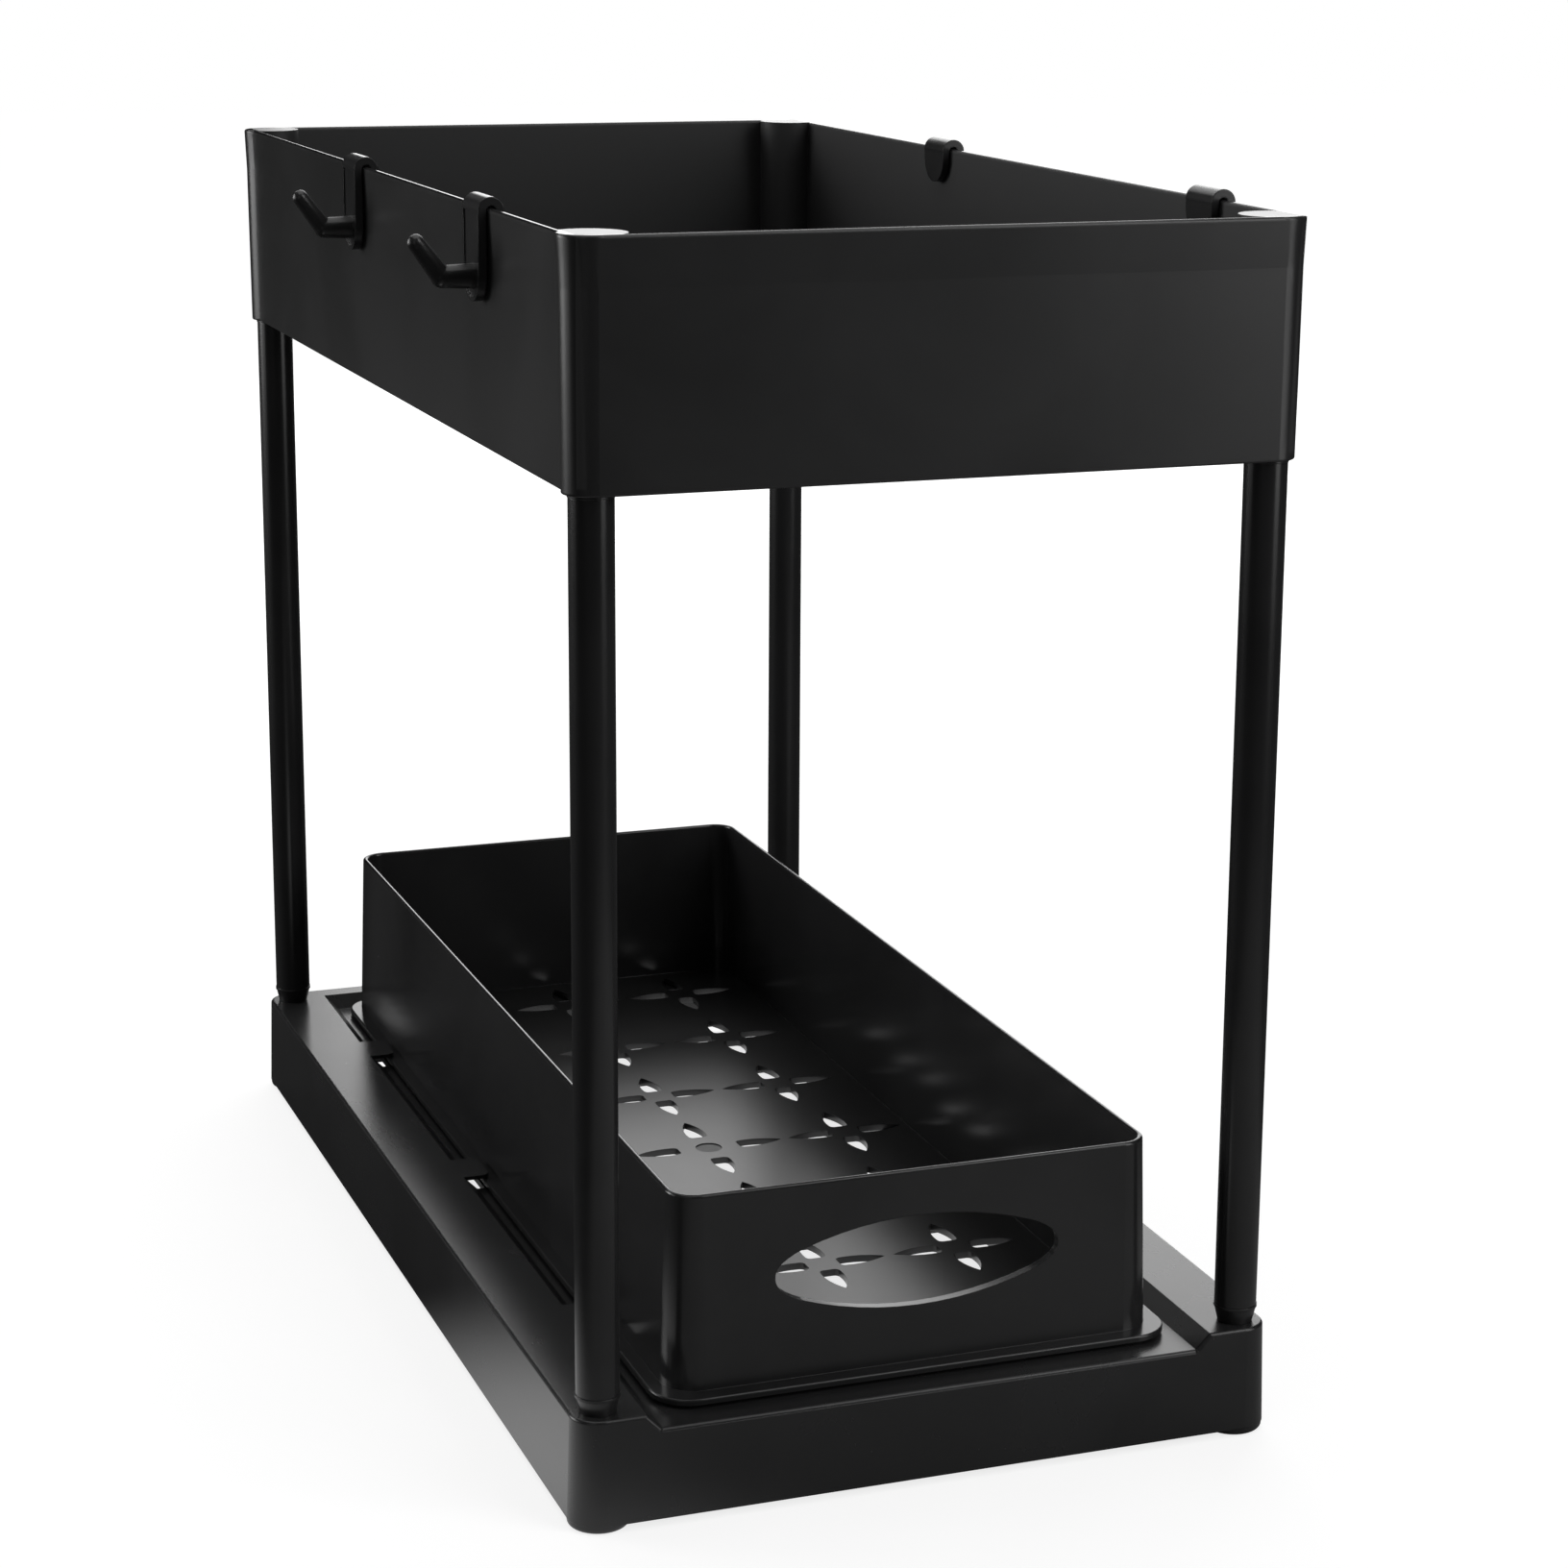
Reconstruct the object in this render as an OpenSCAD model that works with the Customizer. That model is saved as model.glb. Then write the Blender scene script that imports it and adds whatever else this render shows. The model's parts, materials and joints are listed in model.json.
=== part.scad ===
// Storage shelf for a cabinet, in two tiers: a low base that carries a sliding drawer,
// four posts with moulded end plugs, and a top tray with hooks hung on its rim.
// The origin is on the floor under the middle of the base. X runs to the right,
// Y to the back and Z up, and the drawer pulls out towards -Y.

/* [Base] */
// Width of the base at its lower edge, left to right
base_w = 216.2; // [205:0.1:240]
// Depth of the base at its lower edge, front to back
base_d = 417.6; // [400:0.1:460]
// Height of the skirt, without the feet
skirt_h = 31.3; // [28:0.1:40]
// How far the feet stand out below the skirt
foot_h = 2.5; // [1.5:0.1:6]
// Radius of the base's corners, about the post axes
base_r = 9.2; // [8:0.1:12]
// How far the skirt leans in over its height
base_draft = 0.85; // [0.2:0.05:2]
// Thickness of the skirt, the deck and the channel
base_wall = 2.2; // [1.6:0.1:3]
// Rounding of the deck's outer edge
base_edge_r = 1; // [0.4:0.1:1.5]
// How far a foot lies inside the corner of the skirt's lower edge
foot_in = 0.2; // [0.1:0.05:1]
// Rounding of the feet's lower edge
foot_edge_r = 1.6; // [0.5:0.1:2.5]

/* [Drawer channel] */
// Width of the channel at the deck
channel_w = 174; // [168:0.1:178]
// Depth of the channel below the deck
channel_depth = 4.5; // [4:0.1:6]
// Width of the back ledge at the deck, from the base's lower edge
back_ledge = 8.8; // [7:0.1:14]
// Width of each floor ledge that the drawer runs on
runway_w = 18.5; // [12:0.1:24]
// Depth of the floor strip behind the front edge
front_strip = 22; // [16:0.1:34]
// Depth of the floor strip in front of the back wall
back_strip = 18; // [12:0.1:30]
// Width of each strap across the open middle
strap_w = 12; // [8:0.1:20]
// Distance of each strap from the middle
strap_y = 84; // [70:0.1:100]
// Corner radius of the open windows
window_r = 6; // [3:0.1:8]

/* [Hold down tabs] */
// Width of a tab along the channel
tab_w = 17; // [12:0.1:24]
// Number of tabs on each side
tab_count = 3; // [1:1:3]
// Distance between tabs
tab_pitch = 132; // [110:0.1:140]
// Thickness of a tab
tab_t = 1.3; // [1:0.1:1.8]
// How far a tab reaches over the drawer's flange
tab_grip = 2; // [0.8:0.1:2.5]
// Corner radius of a tab's free end
tab_r = 3; // [1:0.1:6]

/* [Ribs under the base] */
// Thickness of a rib
rib_t = 1.6; // [1.2:0.1:2.4]
// Depth of a rib below the channel
rib_h = 5; // [3:0.1:8]
// Number of ribs on each side
rib_count = 6; // [2:1:6]
// Distance between ribs
rib_pitch = 66; // [55:0.1:70]

/* [Posts] */
// Outer diameter of a post
post_d = 12.5; // [11.5:0.1:13.5]
// Wall of a post's tube
post_wall = 1; // [0.8:0.1:1.5]
// Height of the tray's underside above the deck
tier_gap = 258.9; // [200:0.1:340]

/* [Post plugs] */
// Height of the plug's neck above the deck
neck_h = 4.6; // [2:0.1:8]
// How much narrower the neck is at the deck, on the radius
neck_in = 1.1; // [0.4:0.1:1.4]
// Height of the bead between a tube and its plug
bead_h = 0.8; // [0.5:0.1:1.5]
// How far the bead stands out of the tube
bead_out = 0.2; // [0.1:0.05:0.5]
// Radius of a spigot in the base or the tray
spigot_r = 4.6; // [4:0.1:4.8]
// Depth of a plug in its tube
plug_in = 16; // [10:0.5:30]
// Depth of a spigot in the base
foot_spigot = 22; // [14:0.5:26]
// Depth of a spigot in the tray
head_spigot = 34; // [16:0.5:50]
// Clearance round a plug and its spigots
plug_clear = 0.05; // [0.02:0.01:0.1]

/* [Drawer] */
// Height of the drawer's rim above the channel floor
drawer_h = 61; // [45:0.1:90]
// Wall at the drawer's rim
drawer_wall = 1.8; // [1.4:0.1:2.6]
// How far the outer faces lean in from flange to rim
drawer_lean = 1.8; // [0.5:0.1:3]
// Thickness of the drawer's floor
drawer_floor = 2.2; // [1.4:0.1:2.6]
// Outer corner radius of the drawer's rim
drawer_r = 8.5; // [6:0.1:16]
// Gap between the flange and the channel floor's side edge
drawer_side_gap = 2.5; // [1:0.1:4]
// Gap between the flange and the channel's sloped back
drawer_back_gap = 0.4; // [0.3:0.1:2]
// Distance from the base's front to the flange
drawer_set_back = 9.8; // [6:0.1:16]
// Running gap under the drawer
slide_gap = 0.1; // [0.05:0.05:0.15]

/* [Drawer flange] */
// Thickness of the flange
flange_t = 1.8; // [1.4:0.1:2]
// Width of the flange at the sides
flange_side = 4.4; // [3:0.1:5]
// Width of the flange at the front
flange_front = 5.4; // [3.5:0.1:7]
// Width of the flange at the back
flange_back = 0.8; // [0.4:0.1:2]
// Corner radius of the flange
flange_r = 12; // [5:0.1:14]
// Height of the runner below the flange
runner_h = 1; // [0.6:0.1:1.2]
// How far the runner lies inside the flange's edge
runner_in = 2.6; // [1.5:0.1:3]
// Rounding of the flange's upper edge
flange_edge_r = 0.6; // [0.3:0.1:0.8]

/* [Handle opening] */
// Width of the handle opening
handle_w = 87.8; // [70:0.1:100]
// Height of the handle opening
handle_h = 27.2; // [20:0.1:32]
// Radius of the opening's ends
handle_end_r = 5.2; // [4:0.1:7]
// Radius of the shoulders between its ends and its long arcs
handle_shoulder_r = 20; // [14:0.5:26]
// Turn of an end arc to each side
handle_end_angle = 50; // [40:1:60]
// Height of the opening's middle above the channel floor
handle_z = 33.6; // [28:0.1:44]

/* [Floor slots] */
// Columns of slot crosses in the drawer's floor
drawer_columns = 3; // [1:2:3]
// Rows of slot crosses in the drawer's floor
drawer_rows = 7; // [1:2:7]
// Columns of slot crosses in the tray's floor
tray_columns = 4; // [1:1:4]
// Rows of slot crosses in the tray's floor
tray_rows = 7; // [1:1:7]
// Distance between slot crosses, left to right
cross_x = 44.4; // [40:0.1:48]
// Distance between slot crosses, front to back
cross_y = 55.6; // [48:0.1:57]
// Length of a slot
slot_l = 15.5; // [12:0.1:16]
// Width of a slot
slot_w = 6.7; // [4:0.1:7]
// Corner radius of a slot's blunt end
slot_r = 1.6; // [0.8:0.1:2]
// Distance from a cross's middle to its slots
slot_start = 5.2; // [4:0.1:6]
// Distance from the middle mark to its slots
mark_start = 10.5; // [8:0.1:11]
// Place of the drawer's slots and mark, from the middle of its shell to the back
slot_shift_y = -3; // [-5:0.1:5]
// Radius of the round mark in the drawer floor
mark_r = 4.4; // [3:0.1:6]
// Depth of the round mark
mark_depth = 0.3; // [0.1:0.05:0.5]

/* [Tray] */
// Height of the tray
tray_h = 68.2; // [50:0.1:90]
// Wall of the tray
tray_wall = 2.2; // [1.8:0.1:3]
// Thickness of the tray's floor
tray_floor = 2; // [1.6:0.1:3]
// How far the tray's walls lean out over their height
tray_draft = 0.4; // [0.1:0.05:2]
// How far the outer faces flare out below the rim
tray_flare = 0.5; // [0.1:0.05:1]
// Height of the flare
tray_flare_h = 14; // [8:0.5:30]
// Rounding of the tray's lower edge
tray_edge_r = 0.6; // [0.3:0.1:1.8]
// Distance from a post axis to the rim's outer face, left and right
tray_over_x = 7.3; // [6.8:0.1:8.5]
// Outer radius of a corner column at the rim
column_r = 8.9; // [8.6:0.1:10]
// Rounding of a corner column's upper edge
column_edge_r = 0.8; // [0.3:0.1:1.2]
// Radius of a corner socket
socket_r = 10.2; // [8.5:0.1:14]
// Thickness of the closed top of a corner socket
socket_top = 3; // [2:0.1:5]

/* [Hooks] */
// Width of a hook
hook_w = 17; // [12:0.1:20]
// Thickness of a hook's strap
hook_t = 2.4; // [1.8:0.1:3]
// Gap between a hook and the tray wall
hook_gap = 0.35; // [0.3:0.05:0.6]
// Length of the outer plate below the rim
hook_drop = 26.5; // [22:0.1:34]
// Length of the inner tongue below the rim
tongue_drop = 11.5; // [9:0.1:20]
// Width of the raised border round the outer plate
border_w = 1.2; // [0.8:0.1:2]
// Height of the raised border
border_h = 0.5; // [0.3:0.1:0.8]
// Radius of the peg at its root
peg_r = 3.7; // [2.8:0.1:4]
// Radius of the peg at its bend
peg_bend_r = 3.2; // [2.5:0.1:3.5]
// Radius of the peg's round end
peg_tip_r = 2.5; // [2:0.1:3]
// Depth of the peg's root below the rim
peg_drop = 19.4; // [15:0.1:22]
// Length of the peg's level part
peg_out = 8.4; // [4:0.1:10]
// Length of the peg's rising part
peg_rise = 11.9; // [8:0.1:16]
// Angle of the rising part
peg_angle = 53; // [40:1:65]
// Place of the back left hook along the rim
hook_left_back_y = 31; // [20:1:100]
// Place of the front left hook along the rim
hook_left_front_y = -118; // [-150:1:-60]
// Place of the back right hook along the rim
hook_right_back_y = 58; // [20:1:100]
// Place of the front right hook along the rim
hook_right_front_y = -147; // [-150:1:-60]

/* [Hidden] */
$fn = 48;

// Overrun of cuts past the faces that they open
over = 1;
// Colours of the moulded parts, the tubes and the hooks
black_satin = [0.09, 0.09, 0.095];
black_tube = [0.07, 0.07, 0.075];
black_gloss = [0.04, 0.04, 0.045];

// Heights
deck_z = foot_h + skirt_h;
channel_z = deck_z - channel_depth;
tab_z = deck_z - tab_t;
tray_z = deck_z + tier_gap;
rim_z = tray_z + tray_h;

// Corner axes of the base, which the posts stand on
axis_x = base_w / 2 - base_r;
axis_y = base_d / 2 - base_r;
front_y = base_draft - base_d / 2;

// Channel: its floor edges follow from walls that slope at 45 degrees
channel_half = channel_w / 2;
channel_foot_x = channel_half - channel_depth;
channel_back = base_d / 2 - back_ledge;
channel_foot_y = channel_back - channel_depth;
window_x = channel_foot_x - runway_w;
window_front = front_strip - base_d / 2;
window_back = channel_foot_y - back_strip;
slope_t = base_wall * sqrt(2);

// Drawer
flange_x = channel_foot_x - drawer_side_gap;
drawer_z = channel_z + slide_gap;
flange_z = drawer_z + runner_h;
flange_top = flange_z + flange_t;
flange_y0 = drawer_set_back - base_d / 2;
flange_y1 = channel_foot_y + flange_z - channel_z - drawer_back_gap;
shell_y0 = flange_y0 + flange_front;
shell_y1 = flange_y1 - flange_back;
shell_x = flange_x - flange_side;
shell_half = (shell_y1 - shell_y0) / 2;
shell_mid = (shell_y1 + shell_y0) / 2;
slot_mid = shell_mid + slot_shift_y;
drawer_top = channel_z + drawer_h;
drawer_floor_top = drawer_z + drawer_floor;
tab_x = flange_x - tab_grip;

// Posts and plugs
post_r = post_d / 2;
bead_r = post_r + bead_out;
tube_z0 = deck_z + neck_h + bead_h;
tube_z1 = tray_z - bead_h;
tube_bore = post_r - post_wall;
plug_r = tube_bore - plug_clear;
socket_bore = spigot_r + plug_clear;

// Tray: half sizes at the rim. Its front and back are tangent to the corner columns.
tray_x = axis_x + tray_over_x;
tray_y = axis_y + column_r;

// Handle opening: an oval of long arcs, shoulders and ends, each tangent to the next
handle_a = handle_w / 2 - handle_end_r;
handle_b = handle_h / 2;
shoulder_x = handle_a - (handle_shoulder_r - handle_end_r) * cos(handle_end_angle);
shoulder_y = (handle_shoulder_r - handle_end_r) * sin(handle_end_angle);
shoulder_rise = handle_b + shoulder_y;
handle_arc = (shoulder_x * shoulder_x + shoulder_rise * shoulder_rise
    - handle_shoulder_r * handle_shoulder_r) / (2 * (shoulder_rise - handle_shoulder_r));
handle_meet = shoulder_x * handle_arc / (handle_arc - handle_shoulder_r);
shoulder_meet = handle_a + handle_end_r * cos(handle_end_angle);

// Slots: a pointed oval with a blunt inner end, widest at a share of its length
slot_belly_share = 0.26;
slot_belly = slot_l * slot_belly_share;
slot_arc = ((slot_l - slot_belly) * (slot_l - slot_belly) + slot_w * slot_w / 4) / slot_w;
slot_sink = slot_arc - slot_w / 2;
slot_flat = sqrt(slot_arc * slot_arc - (slot_belly - slot_r) * (slot_belly - slot_r))
    - slot_sink - slot_r;
// Move of the crosses beside the mark, as a share of what the mark takes
mark_shift_share = 0.92;
mark_shift = (mark_start - slot_start) * mark_shift_share;

// Hooks: the slot takes the tray's wall with a gap on each side
hook_slot = tray_wall + 2 * hook_gap;
hook_bend = hook_slot / 2;
hook_rise = hook_gap - tray_wall / 2;
hook_mid = tray_wall / 2;
hook_face = hook_gap + hook_t;
// Root of the peg's rising part, as a share of its radius at the bend
peg_root_share = 0.96;

// One profile carried round a rectangle with round corners. The profile is drawn
// with x = 0 on the corner axis, and ax and ay are the corner axes' distances.
module swept(ax, ay) {
    for (side = [0:3]) {
        out = side % 2 == 0 ? ax : ay;
        run = side % 2 == 0 ? ay : ax;
        rotate([0, 0, 90 * side])
            translate([out, run, 0]) {
                rotate([90, 0, 0]) linear_extrude(2 * run) children();
                rotate_extrude(angle = 90) children();
            }
    }
}

// The same, filled between z0 and z1
module filled(ax, ay, z0, z1) {
    swept(ax, ay) children();
    translate([-ax, -ay, z0]) cube([2 * ax, 2 * ay, z1 - z0]);
}

// Upright profile from z0 to z1, r0 wide below and r1 above, round at its upper edge
module edged(r0, r1, z0, z1, edge) {
    polygon([[0, z0], [r0, z0], [r1, z1 - edge], [r1 - edge, z1 - edge], [r1 - edge, z1], [0, z1]]);
    translate([r1 - edge, z1 - edge]) circle(r = edge);
}

// The same, round at its lower edge
module edged_low(r0, r1, z0, z1, edge) {
    polygon([[0, z0], [r0 - edge, z0], [r0 - edge, z0 + edge], [r0, z0 + edge], [r1, z1], [0, z1]]);
    translate([r0 - edge, z0 + edge]) circle(r = edge);
}

// Flat rectangle with round corners
module rounded_rect(x0, y0, x1, y1, r) {
    translate([x0 + r, y0]) square([x1 - x0 - 2 * r, y1 - y0]);
    translate([x0, y0 + r]) square([x1 - x0, y1 - y0 - 2 * r]);
    for (x = [x0 + r, x1 - r], y = [y0 + r, y1 - r]) translate([x, y]) circle(r = r);
}

// Trough with sides and back at 45 degrees, open at the front
module trough(half, back, depth, front) {
    rise = depth + over;
    bottom = deck_z - depth;
    intersection() {
        translate([0, back + over, 0]) rotate([90, 0, 0]) linear_extrude(back + over - front)
            polygon([[depth - half, bottom], [half - depth, bottom],
                [half - depth + rise, bottom + rise], [depth - half - rise, bottom + rise]]);
        translate([-half - over, 0, 0]) rotate([90, 0, 90]) linear_extrude(2 * (half + over))
            polygon([[front, bottom], [back - depth, bottom],
                [back - depth + rise, bottom + rise], [front, bottom + rise]]);
    }
}

// Rounding cut along an edge: the edge runs along X, the solid lies behind and below
module edge_cut(length) {
    difference() {
        translate([0, -over, -base_edge_r]) cube([length, over + base_edge_r, over + base_edge_r]);
        translate([-over, base_edge_r, -base_edge_r]) rotate([0, 90, 0])
            cylinder(r = base_edge_r, h = length + 2 * over);
    }
}

module base_outer() {
    filled(axis_x, axis_y, foot_h, deck_z)
        edged(base_r, base_r - base_draft, foot_h, deck_z, base_edge_r);
}

module base_void() {
    bottom = foot_h - over;
    top = deck_z - base_wall;
    r = base_r - base_wall;
    filled(axis_x, axis_y, bottom, top)
        polygon([[0, bottom], [r, bottom], [r - base_draft, top], [0, top]]);
}

// Foot column under a post, with a round lower edge
module foot_column() {
    foot_r = base_r - foot_in;
    rotate_extrude() edged_low(foot_r, foot_r, 0, foot_h + over, foot_edge_r);
    translate([0, 0, foot_h]) cylinder(r = base_r - base_wall / 2, h = skirt_h - base_wall / 2);
}

module ribs() {
    low = channel_z - base_wall - rib_h;
    for (side = [-1, 1], k = [0:rib_count - 1]) {
        y = (k - (rib_count - 1) / 2) * rib_pitch - rib_t / 2;
        translate([side > 0 ? window_x : -base_w / 2, y, low])
            cube([base_w / 2 - window_x, rib_t, deck_z - low]);
    }
    for (side = [-1, 1])
        translate([side > 0 ? window_x : -window_x - rib_t, window_front, low])
            cube([rib_t, window_back - window_front, rib_h + base_wall]);
}

module windows() {
    translate([0, 0, channel_z - base_wall - rib_h - over])
        linear_extrude(base_wall + rib_h + 2 * over) {
            rounded_rect(-window_x, window_front, window_x, -strap_y - strap_w / 2, window_r);
            rounded_rect(-window_x, strap_w / 2 - strap_y, window_x, strap_y - strap_w / 2, window_r);
            rounded_rect(-window_x, strap_y + strap_w / 2, window_x, window_back, window_r);
        }
}

// One hold down tab on the right, with a round free end
module tab() {
    reach = channel_half + base_wall - tab_x;
    translate([tab_x, -tab_w / 2, tab_z]) linear_extrude(tab_t) {
        translate([tab_r, 0]) square([reach - tab_r, tab_w]);
        translate([0, tab_r]) square([reach, tab_w - 2 * tab_r]);
        for (y = [tab_r, tab_w - tab_r]) translate([tab_r, y]) circle(r = tab_r);
    }
}

// Opening under a tab, which frees its underside
module tab_window() {
    translate([tab_x + tab_grip, -tab_w / 2, channel_z - base_wall - rib_h])
        cube([channel_half - tab_x - tab_grip, tab_w, tab_z - channel_z + base_wall + rib_h]);
}

module at_tabs() {
    for (side = [0, 1], k = [0:tab_count - 1]) mirror([side, 0, 0])
        translate([0, (k - (tab_count - 1) / 2) * tab_pitch, 0]) children();
}

module front_edge() {
    slope = sqrt(2) * channel_depth;
    translate([-channel_foot_x, front_y, channel_z]) edge_cut(2 * channel_foot_x);
    for (side = [0, 1]) mirror([side, 0, 0])
        translate([channel_foot_x, front_y, channel_z]) rotate([0, -45, 0]) edge_cut(slope);
}

module base_frame() {
    color(black_satin) {
        difference() {
            union() {
                difference() {
                    base_outer();
                    base_void();
                }
                intersection() {
                    base_outer();
                    union() {
                        trough(channel_half + slope_t, channel_back + slope_t,
                            channel_depth + base_wall, -base_d);
                        ribs();
                    }
                }
                for (x = [-axis_x, axis_x], y = [-axis_y, axis_y]) translate([x, y, 0]) foot_column();
            }
            trough(channel_half, channel_back, channel_depth, -base_d);
            windows();
            front_edge();
            at_tabs() tab_window();
            for (x = [-axis_x, axis_x], y = [-axis_y, axis_y])
                translate([x, y, deck_z - foot_spigot - over])
                    cylinder(r = socket_bore, h = foot_spigot + 2 * over);
        }
        at_tabs() tab();
    }
}

// Floor slot along X, blunt at the cross and pointed at its far end
module slot() {
    intersection() {
        translate([slot_belly, -slot_sink]) circle(r = slot_arc, $fn = 180);
        translate([slot_belly, slot_sink]) circle(r = slot_arc, $fn = 180);
        translate([slot_r, -slot_w]) square([slot_l, 2 * slot_w]);
    }
    translate([0, -slot_flat]) square([2 * slot_r, 2 * slot_flat]);
    for (y = [-slot_flat, slot_flat]) translate([slot_r, y]) circle(r = slot_r);
}

// Four slots in a cross, at a distance from its middle
module slot_cross(start) {
    for (turn = [0:3]) rotate(90 * turn) translate([start, 0]) slot();
}

// Rows and columns of crosses. With a mark the middle row moves out to clear it.
module slot_field(columns, rows, marked) {
    for (c = [0:columns - 1], r = [0:rows - 1]) {
        column = c - (columns - 1) / 2;
        row = r - (rows - 1) / 2;
        middle = marked && row == 0;
        shift = middle ? sign(column) * mark_shift : 0;
        translate([column * cross_x + shift, row * cross_y])
            slot_cross(middle && column == 0 ? mark_start : slot_start);
    }
}

module handle_outline() {
    intersection() {
        translate([0, handle_b - handle_arc]) circle(r = handle_arc, $fn = 240);
        translate([0, handle_arc - handle_b]) circle(r = handle_arc, $fn = 240);
        translate([-handle_meet, -handle_h]) square([2 * handle_meet, 2 * handle_h]);
    }
    for (side = [-1, 1]) {
        intersection() {
            translate([side * shoulder_x, -shoulder_y]) circle(r = handle_shoulder_r, $fn = 120);
            translate([side * shoulder_x, shoulder_y]) circle(r = handle_shoulder_r, $fn = 120);
            translate([-shoulder_meet, -handle_h]) square([2 * shoulder_meet, 2 * handle_h]);
        }
        translate([side * handle_a, 0]) circle(r = handle_end_r);
    }
}

module drawer_shell() {
    r0 = drawer_r + drawer_lean;
    ax = shell_x - r0;
    ay = shell_half - r0;
    inner = drawer_r - drawer_wall;
    lip = drawer_wall / 2;
    difference() {
        filled(ax, ay, drawer_z, drawer_top - lip)
            polygon([[0, drawer_z], [r0, drawer_z], [r0, flange_top],
                [drawer_r, drawer_top - lip], [0, drawer_top - lip]]);
        filled(ax, ay, drawer_floor_top, drawer_top)
            translate([0, drawer_floor_top]) square([inner, drawer_top - drawer_floor_top]);
    }
    swept(ax, ay) translate([drawer_r - lip, drawer_top - lip]) circle(r = lip);
}

module flange() {
    ay = (flange_y1 - flange_y0) / 2 - flange_r;
    ax = flange_x - flange_r;
    translate([0, (flange_y0 + flange_y1) / 2, 0]) {
        filled(ax, ay, flange_z, flange_top)
            edged(flange_r, flange_r, flange_z, flange_top, flange_edge_r);
        filled(ax, ay, drawer_z, flange_z)
            translate([0, drawer_z]) square([flange_r - runner_in, runner_h]);
    }
}

module drawer() {
    color(black_satin) difference() {
        union() {
            translate([0, shell_mid, 0]) drawer_shell();
            difference() {
                flange();
                translate([0, shell_mid, 0])
                    filled(shell_x - drawer_r - drawer_lean, shell_half - drawer_r - drawer_lean,
                        drawer_floor_top, flange_top + over)
                        translate([0, drawer_floor_top])
                            square([drawer_r - drawer_wall, flange_top + over - drawer_floor_top]);
            }
        }
        translate([0, shell_y0 + drawer_r, channel_z + handle_z]) rotate([90, 0, 0])
            linear_extrude(2 * drawer_r) handle_outline();
        translate([0, slot_mid, drawer_z - over]) linear_extrude(drawer_floor + 2 * over)
            slot_field(drawer_columns, drawer_rows, true);
        translate([0, slot_mid, drawer_floor_top - mark_depth]) cylinder(r = mark_r, h = over);
    }
}

// Outer flank of the tray with radius r at the rim, drawn up to the given height
module tray_flank(r, top) {
    low = r - tray_flare - tray_draft;
    polygon([[0, tray_z], [low - tray_edge_r, tray_z], [low - tray_edge_r, tray_z + tray_edge_r],
        [low, tray_z + tray_edge_r], [r - tray_flare, rim_z - tray_flare_h], [r, top], [0, top]]);
    translate([low - tray_edge_r, tray_z + tray_edge_r]) circle(r = tray_edge_r);
}

// The same up to the rim, with its upper edge rounded
module tray_flank_round(r, edge) {
    tray_flank(r, rim_z - edge);
    translate([0, rim_z - 2 * edge]) square([r - edge, 2 * edge]);
    translate([r - edge, rim_z - edge]) circle(r = edge);
}

module top_tray() {
    ax = axis_x;
    ay = tray_y - tray_over_x;
    lip = tray_wall / 2;
    inner = tray_over_x - tray_wall;
    low = tray_z + tray_floor;
    color(black_satin) difference() {
        union() {
            difference() {
                filled(ax, ay, tray_z, rim_z - lip) tray_flank(tray_over_x, rim_z - lip);
                filled(ax, ay, low, rim_z)
                    polygon([[0, low], [inner - tray_draft, low], [inner, rim_z - lip],
                        [inner, rim_z], [0, rim_z]]);
            }
            swept(ax, ay) translate([tray_over_x - lip, rim_z - lip]) circle(r = lip);
            intersection() {
                filled(ax, ay, tray_z, rim_z) tray_flank_round(tray_over_x, lip);
                for (x = [-axis_x, axis_x], y = [-axis_y, axis_y])
                    translate([x, y, tray_z]) cylinder(r = socket_r, h = tray_h);
            }
            for (x = [-axis_x, axis_x], y = [-axis_y, axis_y])
                translate([x, y, 0]) rotate_extrude() tray_flank_round(column_r, column_edge_r);
        }
        for (x = [-axis_x, axis_x], y = [-axis_y, axis_y])
            translate([x, y, tray_z - over]) cylinder(r = socket_bore, h = tray_h - socket_top + over);
        translate([0, 0, tray_z - over]) linear_extrude(tray_floor + 2 * over)
            slot_field(tray_columns, tray_rows, false);
    }
}

module post(x, y) {
    color(black_tube) translate([x, y, tube_z0]) difference() {
        cylinder(r = post_r, h = tube_z1 - tube_z0);
        translate([0, 0, -over]) cylinder(r = tube_bore, h = tube_z1 - tube_z0 + 2 * over);
    }
}

// Plug at the foot of a post: spigot in the base, tapered neck, bead, plug in the tube
module foot_plug(x, y) {
    color(black_satin) translate([x, y, deck_z]) rotate_extrude()
        polygon([[0, -foot_spigot], [spigot_r, -foot_spigot], [spigot_r, 0], [post_r - neck_in, 0],
            [post_r, neck_h], [bead_r, neck_h], [bead_r, neck_h + bead_h], [plug_r, neck_h + bead_h],
            [plug_r, neck_h + bead_h + plug_in], [0, neck_h + bead_h + plug_in]]);
}

// Plug at the head of a post: plug in the tube, bead under the tray, spigot in the socket
module head_plug(x, y) {
    color(black_satin) translate([x, y, tray_z]) rotate_extrude()
        polygon([[0, -bead_h - plug_in], [plug_r, -bead_h - plug_in], [plug_r, -bead_h], [bead_r, -bead_h],
            [bead_r, 0], [spigot_r, 0], [spigot_r, head_spigot], [0, head_spigot]]);
}

// Outline of a strap end in Y and height: straight above, half round below
module strap_end(drop) {
    translate([0, hook_w / 2 - drop]) circle(r = hook_w / 2);
    translate([-hook_w / 2, hook_w / 2 - drop]) square([hook_w, drop]);
}

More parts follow.
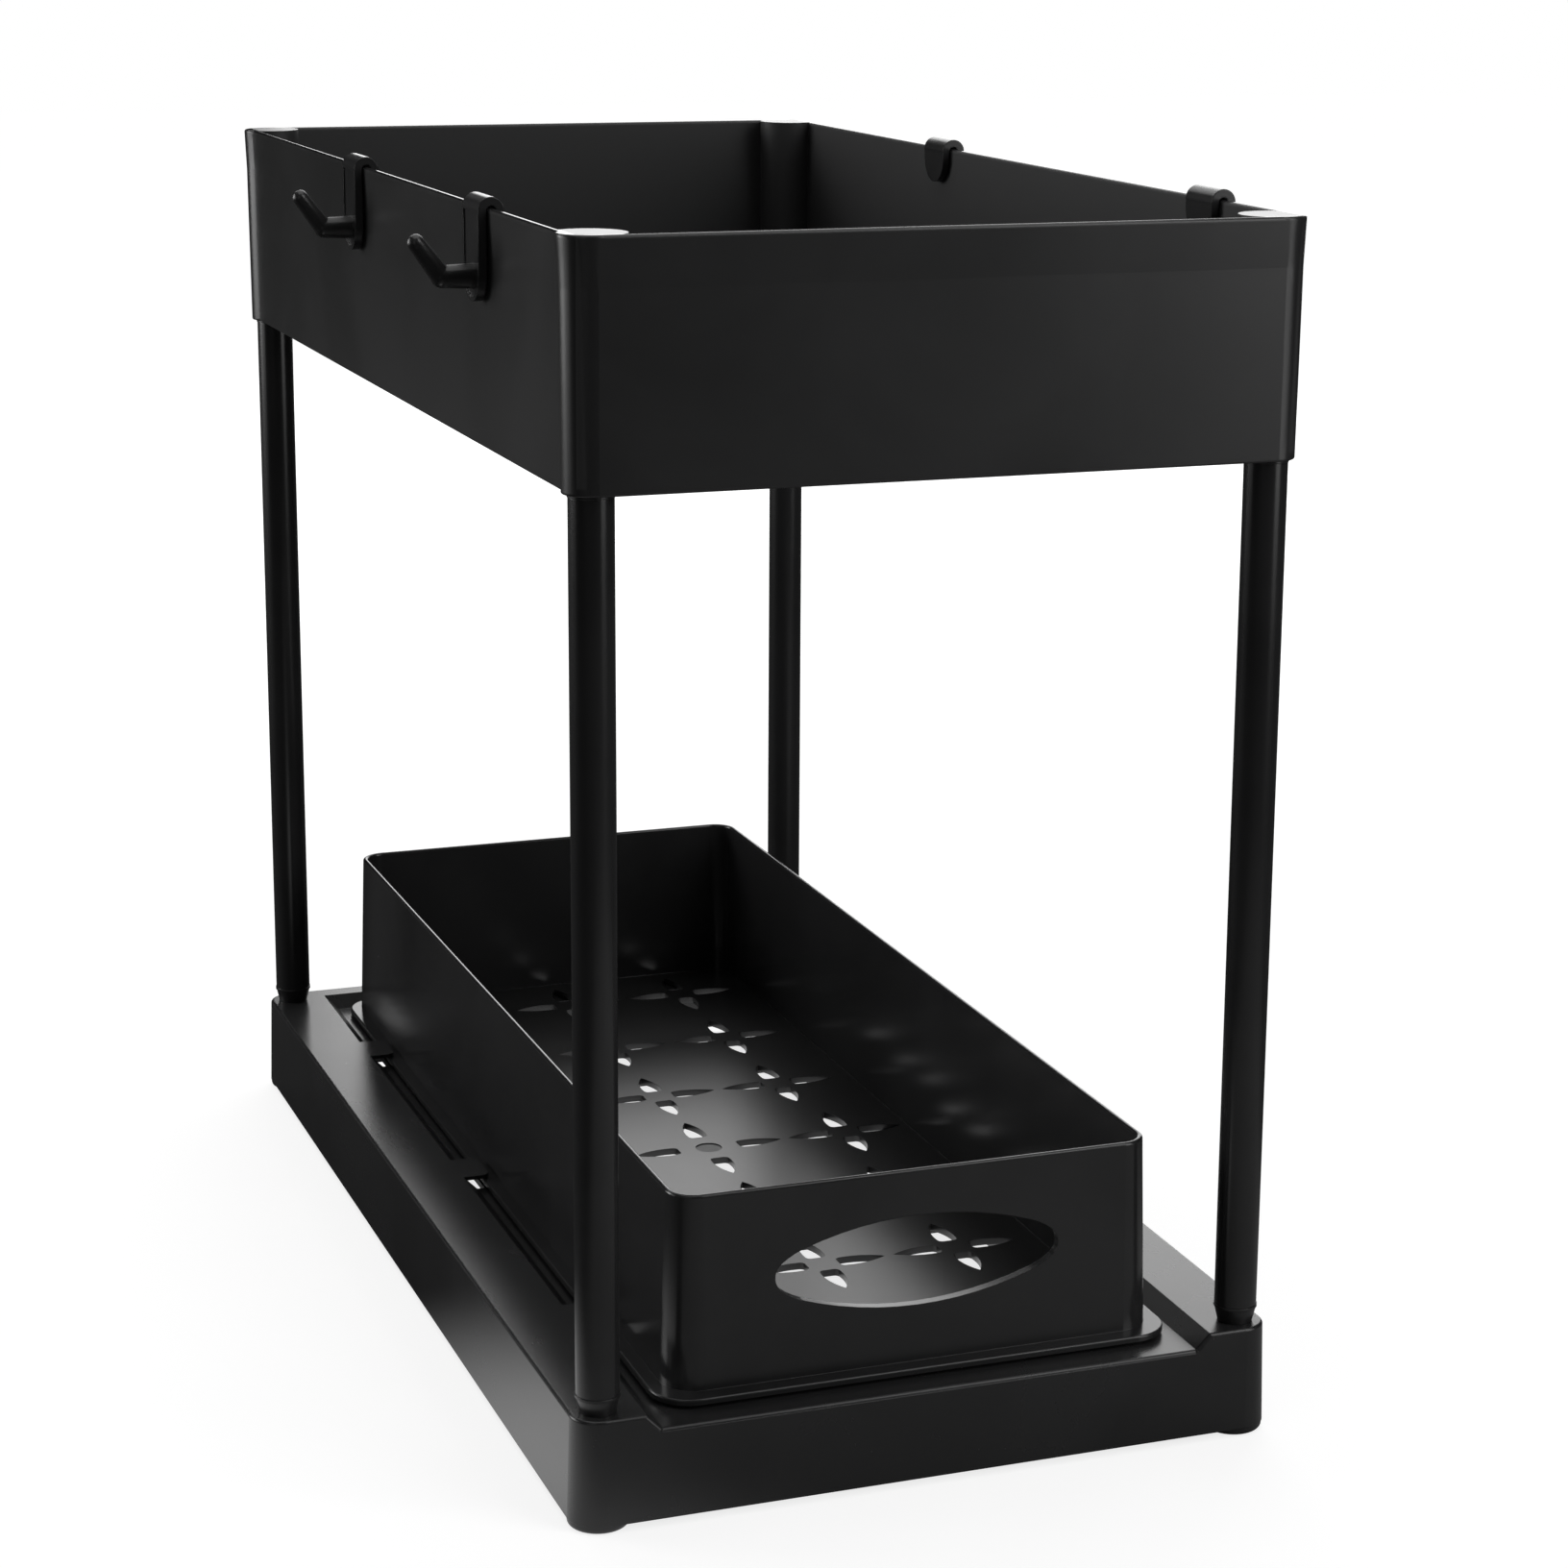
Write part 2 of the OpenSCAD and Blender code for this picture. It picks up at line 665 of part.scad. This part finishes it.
// Strap bent over the rim, as a side view with x = 0 on the wall's outer face
module strap_side() {
    difference() {
        union() {
            translate([hook_mid, hook_rise]) circle(r = hook_bend + hook_t);
            translate([-hook_face, -hook_drop]) square([hook_slot + 2 * hook_t, hook_drop + hook_rise]);
        }
        translate([hook_mid, hook_rise]) circle(r = hook_bend);
        translate([-hook_gap, -hook_drop - over]) square([hook_slot, hook_drop + over + hook_rise]);
        translate([hook_mid, -hook_drop - over])
            square([hook_face + hook_mid + over, hook_drop + over - tongue_drop]);
    }
}

// Pin along Z, r0 thick at its root and r1 at its round end
module round_pin(r0, r1, length) {
    rotate_extrude() {
        polygon([[0, 0], [r0, 0], [r1, length], [0, length]]);
        translate([0, length]) intersection() {
            circle(r = r1);
            square(r1);
        }
    }
}

// Peg from the plate: a level pin, and a rising one that leaves its round end
module peg() {
    translate([hook_t / 2 - hook_face, 0, -peg_drop]) {
        rotate([0, -90, 0]) round_pin(peg_r, peg_bend_r, peg_out + hook_t / 2);
        translate([-peg_out - hook_t / 2, 0, 0]) rotate([0, peg_angle - 90, 0])
            round_pin(peg_bend_r * peg_root_share, peg_tip_r, peg_rise);
    }
}

// Hook on the left wall, with its origin on the rim's outer face
module hook() {
    color(black_gloss) {
        difference() {
            intersection() {
                translate([0, hook_w / 2, 0]) rotate([90, 0, 0]) linear_extrude(hook_w) strap_side();
                union() {
                    translate([-hook_face - over, 0, 0]) rotate([90, 0, 90])
                        linear_extrude(hook_face + over + hook_mid) strap_end(hook_drop);
                    translate([hook_mid, 0, 0]) rotate([90, 0, 90])
                        linear_extrude(hook_face + over) strap_end(tongue_drop);
                    translate([-hook_face - over, -hook_w / 2, -over])
                        cube([2 * (hook_face + over) + tray_wall, hook_w, hook_face + hook_bend + 2 * over]);
                }
            }
            translate([-hook_face - over, 0, 0]) rotate([90, 0, 90]) linear_extrude(over + border_h) {
                translate([0, hook_w / 2 - hook_drop]) circle(r = hook_w / 2 - border_w);
                translate([border_w - hook_w / 2, hook_w / 2 - hook_drop])
                    square([hook_w - 2 * border_w, hook_drop - hook_w / 2 - border_w]);
            }
        }
        peg();
    }
}

module hook_left(y) {
    translate([-tray_x, y, rim_z]) hook();
}

module hook_right(y) {
    mirror([1, 0, 0]) hook_left(y);
}

base_frame();
drawer();
top_tray();
post(-axis_x, -axis_y);  // post_front_left
post(axis_x, -axis_y);  // post_front_right
post(-axis_x, axis_y);  // post_back_left
post(axis_x, axis_y);  // post_back_right
foot_plug(-axis_x, -axis_y);  // foot_plug_front_left
foot_plug(axis_x, -axis_y);  // foot_plug_front_right
foot_plug(-axis_x, axis_y);  // foot_plug_back_left
foot_plug(axis_x, axis_y);  // foot_plug_back_right
head_plug(-axis_x, -axis_y);  // head_plug_front_left
head_plug(axis_x, -axis_y);  // head_plug_front_right
head_plug(-axis_x, axis_y);  // head_plug_back_left
head_plug(axis_x, axis_y);  // head_plug_back_right
hook_left(hook_left_front_y);  // hook_left_front
hook_left(hook_left_back_y);  // hook_left_back
hook_right(hook_right_front_y);  // hook_right_front
hook_right(hook_right_back_y);  // hook_right_back
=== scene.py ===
"""Looks of a black two tier cabinet shelf: camera, studio and moulded plastic finishes.

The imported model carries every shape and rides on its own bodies. This script gives each
node its finish, with the dust, flow marks and gate mark that the solids leave out.
Lengths are in metres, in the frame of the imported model.
"""
import json
import math

import bpy
from mathutils import Matrix, Vector


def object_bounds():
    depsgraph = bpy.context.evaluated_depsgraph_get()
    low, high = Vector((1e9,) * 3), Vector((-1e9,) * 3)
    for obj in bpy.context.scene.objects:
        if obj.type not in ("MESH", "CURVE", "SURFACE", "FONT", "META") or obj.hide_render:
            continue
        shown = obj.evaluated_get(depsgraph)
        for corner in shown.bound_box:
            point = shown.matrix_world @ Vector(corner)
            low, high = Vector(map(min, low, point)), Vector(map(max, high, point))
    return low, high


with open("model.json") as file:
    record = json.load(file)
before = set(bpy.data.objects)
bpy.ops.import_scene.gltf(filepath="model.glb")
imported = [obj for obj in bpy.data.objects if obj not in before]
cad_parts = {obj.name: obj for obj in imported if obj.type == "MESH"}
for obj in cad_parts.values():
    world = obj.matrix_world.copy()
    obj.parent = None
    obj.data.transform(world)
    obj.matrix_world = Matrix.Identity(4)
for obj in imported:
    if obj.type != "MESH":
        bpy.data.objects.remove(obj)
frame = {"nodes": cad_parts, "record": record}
cad_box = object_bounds()
scene = bpy.context.scene
scene.view_settings.view_transform = "Standard"

MM = 0.001

# Camera, fitted to the straight edges of the photograph

PHOTO_SIDE = 1632          # the photograph is square
FOCAL_PX = 3730.74         # focal length in its pixels
CENTRE_PX = (869.85, 762.84)   # where the lens axis meets the photograph
CAMERA_PLACE = (-0.36571, -1.09215, 0.44989)
CAMERA_YAW = math.radians(20.63)
CAMERA_PITCH = math.radians(13.39)
CAMERA_ROLL = math.radians(0.51)
SENSOR = 36.0              # sensor width in millimetres, as Blender wants it
CLIP = (0.05, 30)          # the nearest and farthest that the camera sees


def make_camera():
    data = bpy.data.cameras.new("camera")
    data.sensor_fit = "HORIZONTAL"
    data.sensor_width = SENSOR
    data.lens = FOCAL_PX * SENSOR / PHOTO_SIDE
    data.shift_x = 0.5 - CENTRE_PX[0] / PHOTO_SIDE
    data.shift_y = CENTRE_PX[1] / PHOTO_SIDE - 0.5
    data.clip_start, data.clip_end = CLIP
    camera = bpy.data.objects.new("camera", data)
    camera.matrix_world = (
        Matrix.Translation(CAMERA_PLACE)
        @ Matrix.Rotation(-CAMERA_YAW, 4, "Z")
        @ Matrix.Rotation(math.pi / 2 - CAMERA_PITCH, 4, "X")
        @ Matrix.Rotation(CAMERA_ROLL, 4, "Z")
    )
    scene.collection.objects.link(camera)
    scene.camera = camera


make_camera()

# Node trees

SOFT_EDGE = 0.2 * MM       # how softly a painted region ends


class Tree:
    """A node tree that is written as nested calls."""

    def __init__(self, owner):
        owner.use_nodes = True
        self.tree = owner.node_tree
        self.tree.nodes.clear()

    def plug(self, socket, value):
        """Links a socket, or sets it to a number or colour."""
        if isinstance(value, bpy.types.NodeSocket):
            self.tree.links.new(value, socket)
        else:
            socket.default_value = value

    def add(self, kind, settings=None, **inputs):
        """A node. An input is named by its label, or by i and its number."""
        node = self.tree.nodes.new("ShaderNode" + kind)
        for key, value in (settings or {}).items():
            setattr(node, key, value)
        for key, value in inputs.items():
            numbered = key[0] == "i" and key[1:].isdigit()
            self.plug(node.inputs[int(key[1:]) if numbered else key.replace("_", " ")], value)
        return node

    def math(self, operation, a, b=0.0, c=0.0):
        return self.add("Math", {"operation": operation}, i0=a, i1=b, i2=c).outputs[0]

    def ramp(self, value, low, high, to_low=0.0, to_high=1.0):
        """value from low to high, mapped smoothly to to_low and to_high."""
        node = self.add("MapRange", {"interpolation_type": "SMOOTHSTEP"}, Value=value)
        for key, number in (("From Min", low), ("From Max", high), ("To Min", to_low), ("To Max", to_high)):
            node.inputs[key].default_value = number
        return node.outputs[0]

    def mix(self, factor, a, b):
        """The colour a where factor is 0, and b where it is 1."""
        node = self.add("Mix", {"data_type": "RGBA"}, Factor=factor)
        for socket, value in ((node.inputs[6], a), (node.inputs[7], b)):
            self.plug(socket, (*value, 1.0) if isinstance(value, tuple) else value)
        return node.outputs[2]

    def noise(self, vector, scale, detail, roughness, distortion=0.0):
        return self.add("TexNoise", Vector=vector, Scale=scale, Detail=detail, Roughness=roughness,
                        Distortion=distortion).outputs[0]

    def stretched(self, place, scales):
        return self.add("Mapping", Vector=place, Scale=scales).outputs[0]

    def distance(self, place, centre):
        return self.add("VectorMath", {"operation": "DISTANCE"}, i0=place, i1=centre).outputs["Value"]

    def height(self, vector):
        return self.add("SeparateXYZ", Vector=vector).outputs[2]

    def within(self, value, half):
        """1 where |value| < half, with soft edges."""
        return self.ramp(self.math("ABSOLUTE", value), half - SOFT_EDGE, half + SOFT_EDGE, 1.0, 0.0)

    def inside(self, place, half_x, half_y, low, high):
        """1 within |x| < half_x, |y| < half_y and low < z < high, with soft edges."""
        part = self.add("SeparateXYZ", Vector=place)
        in_x = self.within(part.outputs[0], half_x)
        in_y = self.within(part.outputs[1], half_y)
        across = self.math("MULTIPLY", in_x, in_y)
        over = self.ramp(part.outputs[2], low - SOFT_EDGE, low + SOFT_EDGE)
        under = self.ramp(part.outputs[2], high - SOFT_EDGE, high + SOFT_EDGE, 1.0, 0.0)
        return self.math("MULTIPLY", across, self.math("MULTIPLY", over, under))


# Finishes. A scale is in repeats per metre.

CLOUD_SCALE = 14           # where sheen and tone wander over a face
CLOUD_RANGE = (0.3, 0.7)   # the part of the cloud over which the tone changes
CLOUD_LIGHTER = 1.35       # the lightest tone over the darkest
SMEAR_SCALES = (90, 16, 60)    # flow marks, drawn out from front to back
SKIN_SCALE = 1900          # the fine texture of the tool
SKIN_DEPTH = 0.02 * MM
WAVE_SCALE = 22            # the slight unevenness of a moulded wall
WAVE_DEPTH = 0.12 * MM
WAVE_STRENGTH = 0.08
DUST_SCALE = 210           # the cells, of which a few hold a speck
SPECK_SHARE = 0.045        # a speck's radius over its cell
SPECK_TONE = (0.16, 0.16, 0.155)
SPECK_ROUGHER = 0.4
MARK_ROUGHER = 0.12
UPWARD = (0.5, 0.8)        # a normal's height from which a face starts to be, and is, a top
PLASTIC_IOR = 1.49


def dust_mask(t, place, share):
    """1 on the specks of dust, which lie in this share of the cells."""
    cells = t.add("TexVoronoi", {"feature": "F1"}, Vector=place, Scale=DUST_SCALE, Randomness=1.0)
    rare = t.add("TexWhiteNoise", {"noise_dimensions": "3D"}, Vector=cells.outputs["Position"]).outputs[0]
    return t.math("MULTIPLY",
                  t.math("LESS_THAN", cells.outputs["Distance"], SPECK_SHARE),
                  t.math("LESS_THAN", rare, share))


def mark_mask(t, place, x, y, radius):
    """1 on a round gate mark."""
    away = t.distance(t.stretched(place, (1, 1, 0)), (x, y, 0))
    return t.ramp(away, radius - SOFT_EDGE, radius, 1.0, 0.0)


def crown_mask(t, place, low):
    """1 on the upward faces above a height."""
    up = t.ramp(t.height(t.add("TexCoord").outputs["Normal"]), *UPWARD)
    return t.math("MULTIPLY", up, t.ramp(t.height(place), low, low + MM))


def moulded(name, colour, roughness, spread, grain,
            dust=0.0, edge=0.35 * MM, inner=None, mark=None, crown=None):
    """Black injection moulded plastic. spread is how far the sheen wanders over a face,
    grain the depth of the fine tool texture, dust the share of the cells with a speck, and
    edge the rounding that catches the light. inner is (half_x, half_y, low, high,
    roughness, lightening) of a duller inside whose tone is painted lighter by lightening,
    painted light on the inner walls. mark is (x, y, radius) of a dull gate mark, and
    crown is (low, roughness) of the polished upward faces above a height."""
    material = bpy.data.materials.new(name)
    t = Tree(material)
    place = t.add("TexCoord").outputs["Object"]
    cloud = t.noise(place, CLOUD_SCALE, detail=3, roughness=0.55, distortion=0.6)
    smear = t.noise(t.stretched(place, SMEAR_SCALES), 1, detail=4, roughness=0.6, distortion=0.4)
    sheen = t.math("MULTIPLY_ADD", cloud, 2 * spread, roughness - spread)
    sheen = t.math("MULTIPLY_ADD", smear, spread, sheen)
    tone = t.mix(t.ramp(cloud, *CLOUD_RANGE), colour, tuple(c * CLOUD_LIGHTER for c in colour))
    # Painted light: the inside's tone is painted lighter by the last factor of inner, and its roughness is
    # raised
    if inner:
        *region, inner_roughness, painted_lightening = inner
        mask = t.inside(place, *region)
        sheen = t.math("MULTIPLY_ADD", mask, inner_roughness - roughness, sheen)
        tone = t.mix(mask, tone, tuple(c * painted_lightening for c in colour))
    if mark:
        sheen = t.math("MULTIPLY_ADD", mark_mask(t, place, *mark), MARK_ROUGHER, sheen)
    if crown:
        low, crown_roughness = crown
        sheen = t.math("MULTIPLY_ADD", crown_mask(t, place, low), crown_roughness - roughness, sheen)
    speck = dust_mask(t, place, dust)
    tone = t.mix(speck, tone, SPECK_TONE)
    sheen = t.math("ADD", sheen, t.math("MULTIPLY", speck, SPECK_ROUGHER))
    skin = t.noise(place, SKIN_SCALE, detail=2, roughness=0.6)
    wave = t.noise(place, WAVE_SCALE, detail=2, roughness=0.4)
    rounded = t.add("Bevel", {"samples": 4}, Radius=edge).outputs[0]
    fine = t.add("Bump", Strength=grain, Distance=SKIN_DEPTH, Height=skin, Normal=rounded).outputs[0]
    soft = t.add("Bump", Strength=WAVE_STRENGTH, Distance=WAVE_DEPTH, Height=wave, Normal=fine).outputs[0]
    shader = t.add("BsdfPrincipled", Base_Color=tone, Roughness=sheen, Normal=soft, IOR=PLASTIC_IOR)
    t.add("OutputMaterial", Surface=shader.outputs[0])
    return material


BLACK = (0.0180, 0.0180, 0.0184)
TRAY_BLACK = (0.0210, 0.0210, 0.0214)
HOOK_BLACK = (0.0230, 0.0230, 0.0234)
OVER_ALL = 1.0             # a height above every piece

FINISHES = {
    "base_plastic": dict(colour=BLACK, roughness=0.26, spread=0.02, grain=0.20, dust=0.010),
    "drawer_plastic": dict(colour=BLACK, roughness=0.19, spread=0.02, grain=0.12, dust=0.008, edge=0.25 * MM,
                           inner=(0.0735, 0.1915, 0.0300, 0.0320, 0.28, 1.0), mark=(0.0, -0.0021, 0.0044)),
    # The tray's inside is rougher, and its tone is painted 1.5 times lighter as painted light on its inner
    # walls
    "tray_plastic": dict(colour=TRAY_BLACK, roughness=0.28, spread=0.025, grain=0.20, dust=0.012,
                         inner=(0.1045, 0.2068, 0.2950, OVER_ALL, 0.50, 1.5), crown=(0.3570, 0.06)),
    "post_tube": dict(colour=BLACK, roughness=0.19, spread=0.02, grain=0.10),
    "plug_plastic": dict(colour=BLACK, roughness=0.26, spread=0.04, grain=0.20),
    "hook_plastic": dict(colour=HOOK_BLACK, roughness=0.24, spread=0.02, grain=0.05, edge=0.60 * MM),
}


def dress():
    """Gives every node the finish of its slot."""
    materials = {name: moulded(name, **finish) for name, finish in FINISHES.items()}
    for part in frame["record"]["subparts"]:
        mesh = frame["nodes"][part["node"]].data
        mesh.materials.clear()
        mesh.materials.append(materials[part["material_slot"]])


dress()

# Studio: a pale floor under plain soft panels. The camera sees it white, with a soft
# shadow. All other rays see it dim, with the brighter places that the photograph shows
# mirrored in the plastic. A place is its centre, the radius that is fully bright, the
# radius where it ends, and how bright it is.

FLOOR_HALF = 6.0
FLOOR_TONE = 0.36          # tone of the paper for the camera, on top of its glow
FLOOR_GLOW = 0.80          # its glow for the camera by the object, which grows to 1 far from it
FULL_GLOW = (0.45, 1.2)    # how far from the object the glow starts to grow, and is 1
FLOOR_DIM = 0.04           # tone of the paper for all other rays
# At these places the tone that all other rays see is painted lighter: painted pools of light, which the
# plastic shows as painted reflections
PAINTED_LIGHT_PLACES = (
    ((0.08, -0.45, 0.0), 0.28, 0.46, 0.34),
    ((-1.6, 2.2, 0.0), 0.9, 1.7, 0.14),
)
# A patch of floor beside the base's front left corner glows for all rays but the camera's, though no lamp is
# there: a painted glow that the base's side shows as a painted reflection
PAINTED_GLOW_PLACE = ((-0.145, -0.150, 0.0), 0.02, 0.14, 0.80)   # beside the base's front left corner
UNDER_HALVES = (0.092, 0.195)  # half width and length of the floor below the base's windows
# The floor below the base glows for all rays but the camera's, though it lies in shade: a painted glow that
# the drawer's inner walls show as painted reflections of bright windows
UNDER_PAINTED_GLOW = 0.8
FIBRE_SCALE = 900
FIBRE_DEPTH = 0.05 * MM
FIBRE_STRENGTH = 0.1


def paper(t):
    """The floor's shader: matt paper and its glow, each one way for the camera and another
    for all other rays, which see painted pools of light and a painted glow below and beside the base."""
    seen = t.add("LightPath").outputs["Is Camera Ray"]
    place = t.add("TexCoord").outputs["Object"]
    dim = (FLOOR_DIM,) * 3
    # Paints the pools of light into the tone that all other rays see
    for centre, low, high, tone in PAINTED_LIGHT_PLACES:
        dim = t.mix(t.ramp(t.distance(place, centre), low, high), (tone,) * 3, dim)
    fibre = t.noise(place, FIBRE_SCALE, detail=2, roughness=0.6)
    matt = t.add("BsdfDiffuse", Color=t.mix(seen, dim, (FLOOR_TONE,) * 3),
                 Normal=t.add("Bump", Strength=FIBRE_STRENGTH, Distance=FIBRE_DEPTH, Height=fibre).outputs[0])

    away = t.add("VectorMath", {"operation": "LENGTH"}, i0=place).outputs["Value"]
    shown = t.math("MULTIPLY_ADD", t.ramp(away, *FULL_GLOW), 1.0 - FLOOR_GLOW, FLOOR_GLOW)
    # The painted glow in the shade below the base, for all rays but the camera's
    under = t.math("MULTIPLY", t.inside(place, *UNDER_HALVES, -OVER_ALL, OVER_ALL), UNDER_PAINTED_GLOW)
    # The painted glow beside the base's front left corner, and the larger of it and the painted glow below
    # the base
    centre, low, high, strength = PAINTED_GLOW_PLACE
    mirrored = t.math("MAXIMUM", under, t.ramp(t.distance(place, centre), low, high, strength, 0.0))
    glow = t.math("MULTIPLY_ADD", t.math("SUBTRACT", 1.0, seen), mirrored, t.math("MULTIPLY", seen, shown))
    white = t.add("Emission", Color=(1, 1, 1, 1), Strength=glow)
    return t.add("AddShader", i0=matt.outputs[0], i1=white.outputs[0]).outputs[0]


def make_floor():
    mesh = bpy.data.meshes.new("floor")
    corners = [(x * FLOOR_HALF, y * FLOOR_HALF, 0) for x, y in ((-1, -1), (1, -1), (1, 1), (-1, 1))]
    mesh.from_pydata(corners, [], [(0, 1, 2, 3)])
    floor = bpy.data.objects.new("floor", mesh)
    scene.collection.objects.link(floor)
    material = bpy.data.materials.new("floor_paper")
    t = Tree(material)
    t.add("OutputMaterial", Surface=paper(t))
    mesh.materials.append(material)


def make_world():
    """White for the camera and through glass, and black as a lamp."""
    world = bpy.data.worlds.new("studio")
    scene.world = world
    t = Tree(world)
    path = t.add("LightPath")
    seen = t.math("MAXIMUM", path.outputs["Is Camera Ray"], path.outputs["Is Transmission Ray"])
    shell = t.add("Background", Color=(1, 1, 1, 1), Strength=seen)
    t.add("OutputWorld", Surface=shell.outputs[0])


# Each lamp panel's place, its width and height, and how bright it looks, 1 being white

PANELS = {
    "back_right": ((0.95, 1.75, 0.65), (1.5, 1.1), 2.5),
    "back_high": ((0.3, 1.35, 1.55), (2.2, 0.9), 1.5),
    "top": ((0.0, -0.05, 1.9), (1.7, 1.7), 1.3),
    "front_right": ((1.15, -1.40, 0.60), (0.8, 1.2), 2.5),
    "front_right_high": ((0.9, -1.3, 1.5), (0.9, 0.8), 3.0),
    "front_left": ((-1.15, -1.50, 0.75), (0.9, 1.2), 0.3),
    "left_back": ((-1.6, 1.1, 0.65), (0.9, 1.1), 4.2),
    "left_low": ((-1.8, 0.6, 0.45), (1.2, 0.85), 1.5),
}


def make_panel(name, place, size, radiance):
    """A rectangular lamp that faces the middle of the object."""
    data = bpy.data.lights.new(name, "AREA")
    data.shape = "RECTANGLE"
    data.size, data.size_y = size
    data.energy = radiance * math.pi * size[0] * size[1]
    lamp = bpy.data.objects.new(name, data)
    away = Vector(place) - (cad_box[0] + cad_box[1]) / 2
    lamp.matrix_world = Matrix.Translation(place) @ away.to_track_quat("Z", "Y").to_matrix().to_4x4()
    lamp.visible_camera = False
    scene.collection.objects.link(lamp)


make_floor()
make_world()
for panel_name, panel in PANELS.items():
    make_panel(panel_name, *panel)
